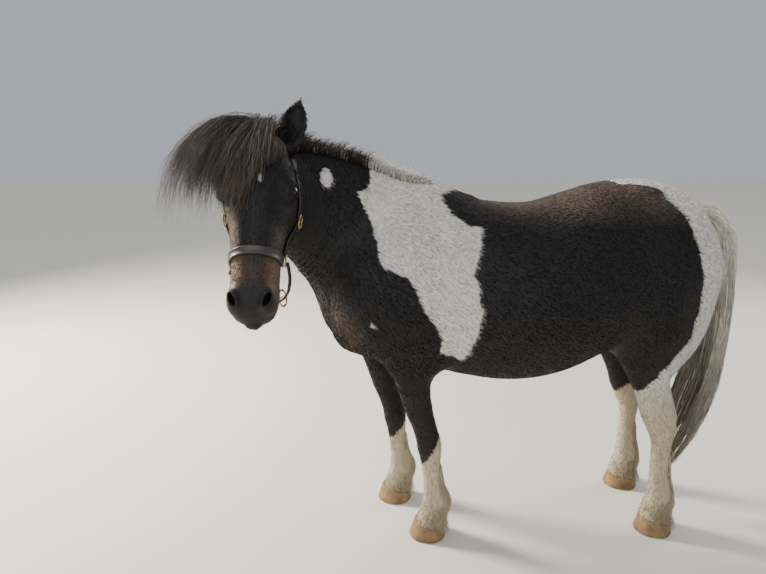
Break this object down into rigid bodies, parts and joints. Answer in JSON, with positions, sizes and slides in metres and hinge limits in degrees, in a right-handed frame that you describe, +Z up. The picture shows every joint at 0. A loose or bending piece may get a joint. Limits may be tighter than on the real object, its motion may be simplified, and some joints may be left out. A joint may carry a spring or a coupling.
{
  "type": "shetland pony",
  "caption": "Life-size still model of a standing Shetland pony with its head turned to its left, in a leather halter.",
  "frame": {"origin": "middle of the base of the whole model's box, on the floor under the hooves", "axes": "the pony faces -X, its left side is -Y, +Z up"},
  "size_m": [1.522, 0.6058, 1.2125],
  "materials": {
    "dark_coat": "short brown-black coat",
    "pale_coat": "short cream-white coat",
    "pale_hair": "long grey-white hair",
    "hoof_horn": "horn, matt and a little worn",
    "eye": "dark wet eye",
    "halter_leather": "dark oiled leather",
    "halter_metal": "worn plated metal"
  },
  "bodies": {
    "root": {"torso": "dark_coat", "neck": "dark_coat", "head": "dark_coat", "ear_left": "dark_coat", "ear_right": "dark_coat", "eye_left": "eye", "eye_right": "eye", "leg_fore_left": "pale_coat", "hoof_fore_left": "hoof_horn", "leg_fore_right": "pale_coat", "hoof_fore_right": "hoof_horn", "leg_hind_left": "pale_coat", "hoof_hind_left": "hoof_horn", "leg_hind_right": "pale_coat", "hoof_hind_right": "hoof_horn", "tail": "pale_hair", "halter_noseband": "halter_leather", "halter_cheek_left": "halter_leather", "halter_cheek_right": "halter_leather", "halter_side_left": "halter_leather", "halter_side_right": "halter_leather", "halter_crown": "halter_leather", "halter_throat": "halter_leather", "halter_chin": "halter_leather", "halter_ring_left": "halter_metal", "halter_ring_right": "halter_metal", "halter_buckle_left": "halter_metal", "halter_buckle_right": "halter_metal", "halter_lead_ring": "halter_metal"}
  },
  "joints": []
}
